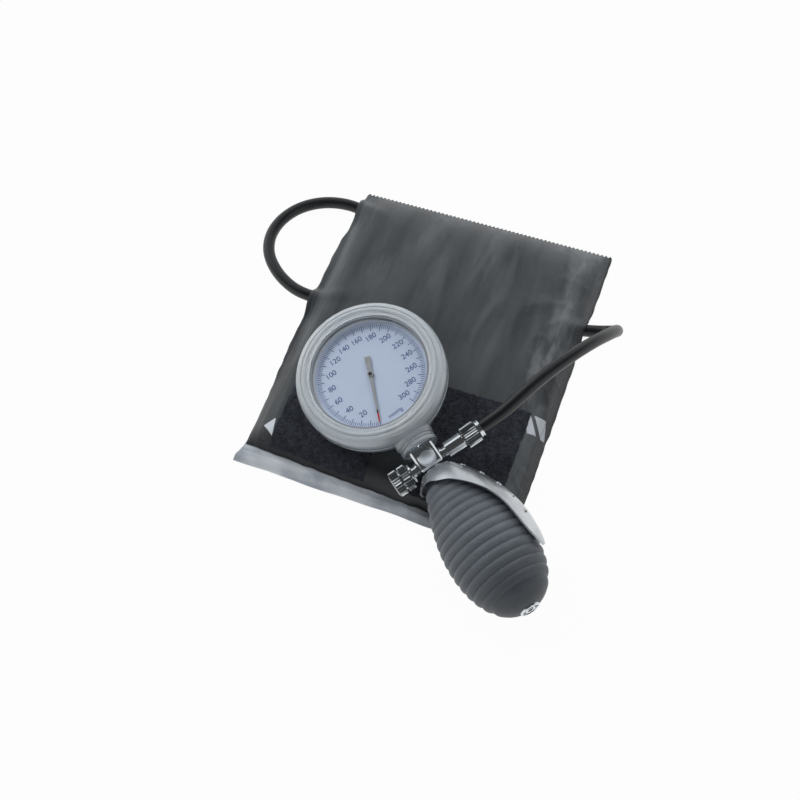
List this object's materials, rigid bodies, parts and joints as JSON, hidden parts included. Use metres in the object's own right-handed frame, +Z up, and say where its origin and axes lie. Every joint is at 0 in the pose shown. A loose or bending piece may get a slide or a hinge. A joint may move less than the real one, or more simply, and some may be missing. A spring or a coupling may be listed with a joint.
{
  "type": "aneroid sphygmomanometer",
  "caption": "Blood pressure set: palm gauge with squeeze bulb, spoon and release valve, joined by a rubber hose to a folded arm cuff with its bladder inside.",
  "frame": {"origin": "middle of the folded cuff's width and length, on the lining's underside where it lies on a table", "axes": "+X across the cuff to the right, +Y along the cuff away from the bulb, +Z up out of the table"},
  "size_m": [0.2044, 0.2248, 0.0521],
  "materials": {
    "cuff_nylon": "coated nylon cloth with a soft sheen",
    "lining_cloth": "pale grey woven lining",
    "inner_folds": "folded nylon cloth",
    "loop_pile": "fuzzy loop pile",
    "hook_tape": "hook tape",
    "black_rubber": "smooth black rubber",
    "bulb_rubber": "matt dark grey rubber",
    "soft_seal": "soft black seal",
    "ring_plastic": "frosted translucent silver grey",
    "case_metal": "satin pressed metal",
    "white_plastic": "white moulded ring",
    "dial_print": "pale blue white print ground",
    "clear_window": "clear flat window",
    "needle_paint": "silver with a red tip",
    "movement_brass": "plain brass",
    "spring_steel": "fine strip",
    "bright_chrome": "polished chrome",
    "satin_chrome": "satin chrome sheet"
  },
  "bodies": {
    "cuff_and_handset": {"cuff_lining": "lining_cloth", "cuff_top_panel": "cuff_nylon", "hook_strip": "hook_tape", "cuff_near_fold": "inner_folds", "cuff_far_fold": "inner_folds", "air_bladder": "black_rubber", "bladder_port": "black_rubber", "loop_patch": "loop_pile", "air_hose": "black_rubber", "shock_ring": "ring_plastic", "gauge_case": "case_metal", "bezel_ring": "case_metal", "window_glass": "clear_window", "dial_spacer": "white_plastic", "dial_plate": "dial_print", "movement_plate": "movement_brass", "plate_pillars": "movement_brass", "dial_pillars": "movement_brass", "movement_bridge": "movement_brass", "hairspring": "spring_steel", "pressure_capsule": "movement_brass", "pressure_socket": "movement_brass", "gauge_stem": "bright_chrome", "stem_nut": "bright_chrome", "manifold_block": "bright_chrome", "sealing_washers": "soft_seal", "hose_spigot": "bright_chrome", "spigot_seal": "soft_seal", "hose_barb": "bright_chrome", "valve_body": "bright_chrome", "bulb_nipple": "bright_chrome", "outlet_cage": "bright_chrome", "spoon_retainer": "bright_chrome", "squeeze_bulb": "bulb_rubber", "inlet_valve_body": "bright_chrome", "inlet_cage": "bright_chrome"},
    "pointer": {"pointer": "needle_paint", "pinion_arbor": "spring_steel"},
    "sector": {"sector_gear": "movement_brass"},
    "stud": {"capsule_stud": "movement_brass"},
    "needle": {"valve_needle": "spring_steel"},
    "knob": {"valve_knob": "bright_chrome"},
    "sleeve": {"coupling_sleeve": "bright_chrome"},
    "spoon": {"palm_spoon": "satin_chrome"},
    "inlet_disc": {"inlet_flap": "soft_seal"},
    "outlet_disc": {"outlet_flap": "soft_seal"}
  },
  "joints": [
    {"name": "sector_turn", "type": "hinge", "parent": "cuff_and_handset", "child": "sector", "pos_m": [-0.02763, -0.03655, 0.03322], "axis": [-0.1233, -0.2479, 0.9609], "range_deg": [0, 39.5], "stiffness_Nm_per_rad": 0.001, "springref_deg": -11.46},
    {"name": "pointer_turn", "type": "hinge", "parent": "cuff_and_handset", "child": "pointer", "pos_m": [-0.01642, -0.04554, 0.03234], "axis": [0.1233, 0.2479, -0.9609], "range_deg": [0, 316]},
    {"name": "stud_lift", "type": "slide", "parent": "cuff_and_handset", "child": "stud", "axis": [-0.1233, -0.2479, 0.9609], "range_m": [0, 0.0012]},
    {"name": "knob_turn", "type": "hinge", "parent": "needle", "child": "knob", "pos_m": [0.01422, -0.08713, 0.02117], "axis": [-0.6148, -0.741, -0.2701], "range_deg": [0, 720]},
    {"name": "needle_lift", "type": "slide", "parent": "cuff_and_handset", "child": "needle", "axis": [-0.6148, -0.741, -0.2701], "range_m": [0, 0.0015]},
    {"name": "sleeve_turn", "type": "hinge", "parent": "cuff_and_handset", "child": "sleeve", "pos_m": [0.03758, -0.05897, 0.03143], "axis": [0.6148, 0.741, 0.2701], "range_deg": [0, 90]},
    {"name": "spoon_swivel", "type": "hinge", "parent": "cuff_and_handset", "child": "spoon", "pos_m": [0.02889, -0.08038, 0.02479], "axis": [0.779, -0.6241, -0.061], "range_deg": [0, 135]},
    {"name": "inlet_flap_open", "type": "slide", "parent": "cuff_and_handset", "child": "inlet_disc", "axis": [-0.779, 0.6241, 0.061], "range_m": [0, 0.0007]},
    {"name": "outlet_flap_open", "type": "slide", "parent": "cuff_and_handset", "child": "outlet_disc", "axis": [-0.779, 0.6241, 0.061], "range_m": [0, 0.0007]}
  ],
  "couplings": [
    {"joint": "pointer_turn", "follows": "sector_turn", "ratio": 8},
    {"joint": "stud_lift", "follows": "sector_turn", "m_per_rad": 0.0017406},
    {"joint": "needle_lift", "follows": "knob_turn", "m_per_rad": 0.00011936}
  ]
}
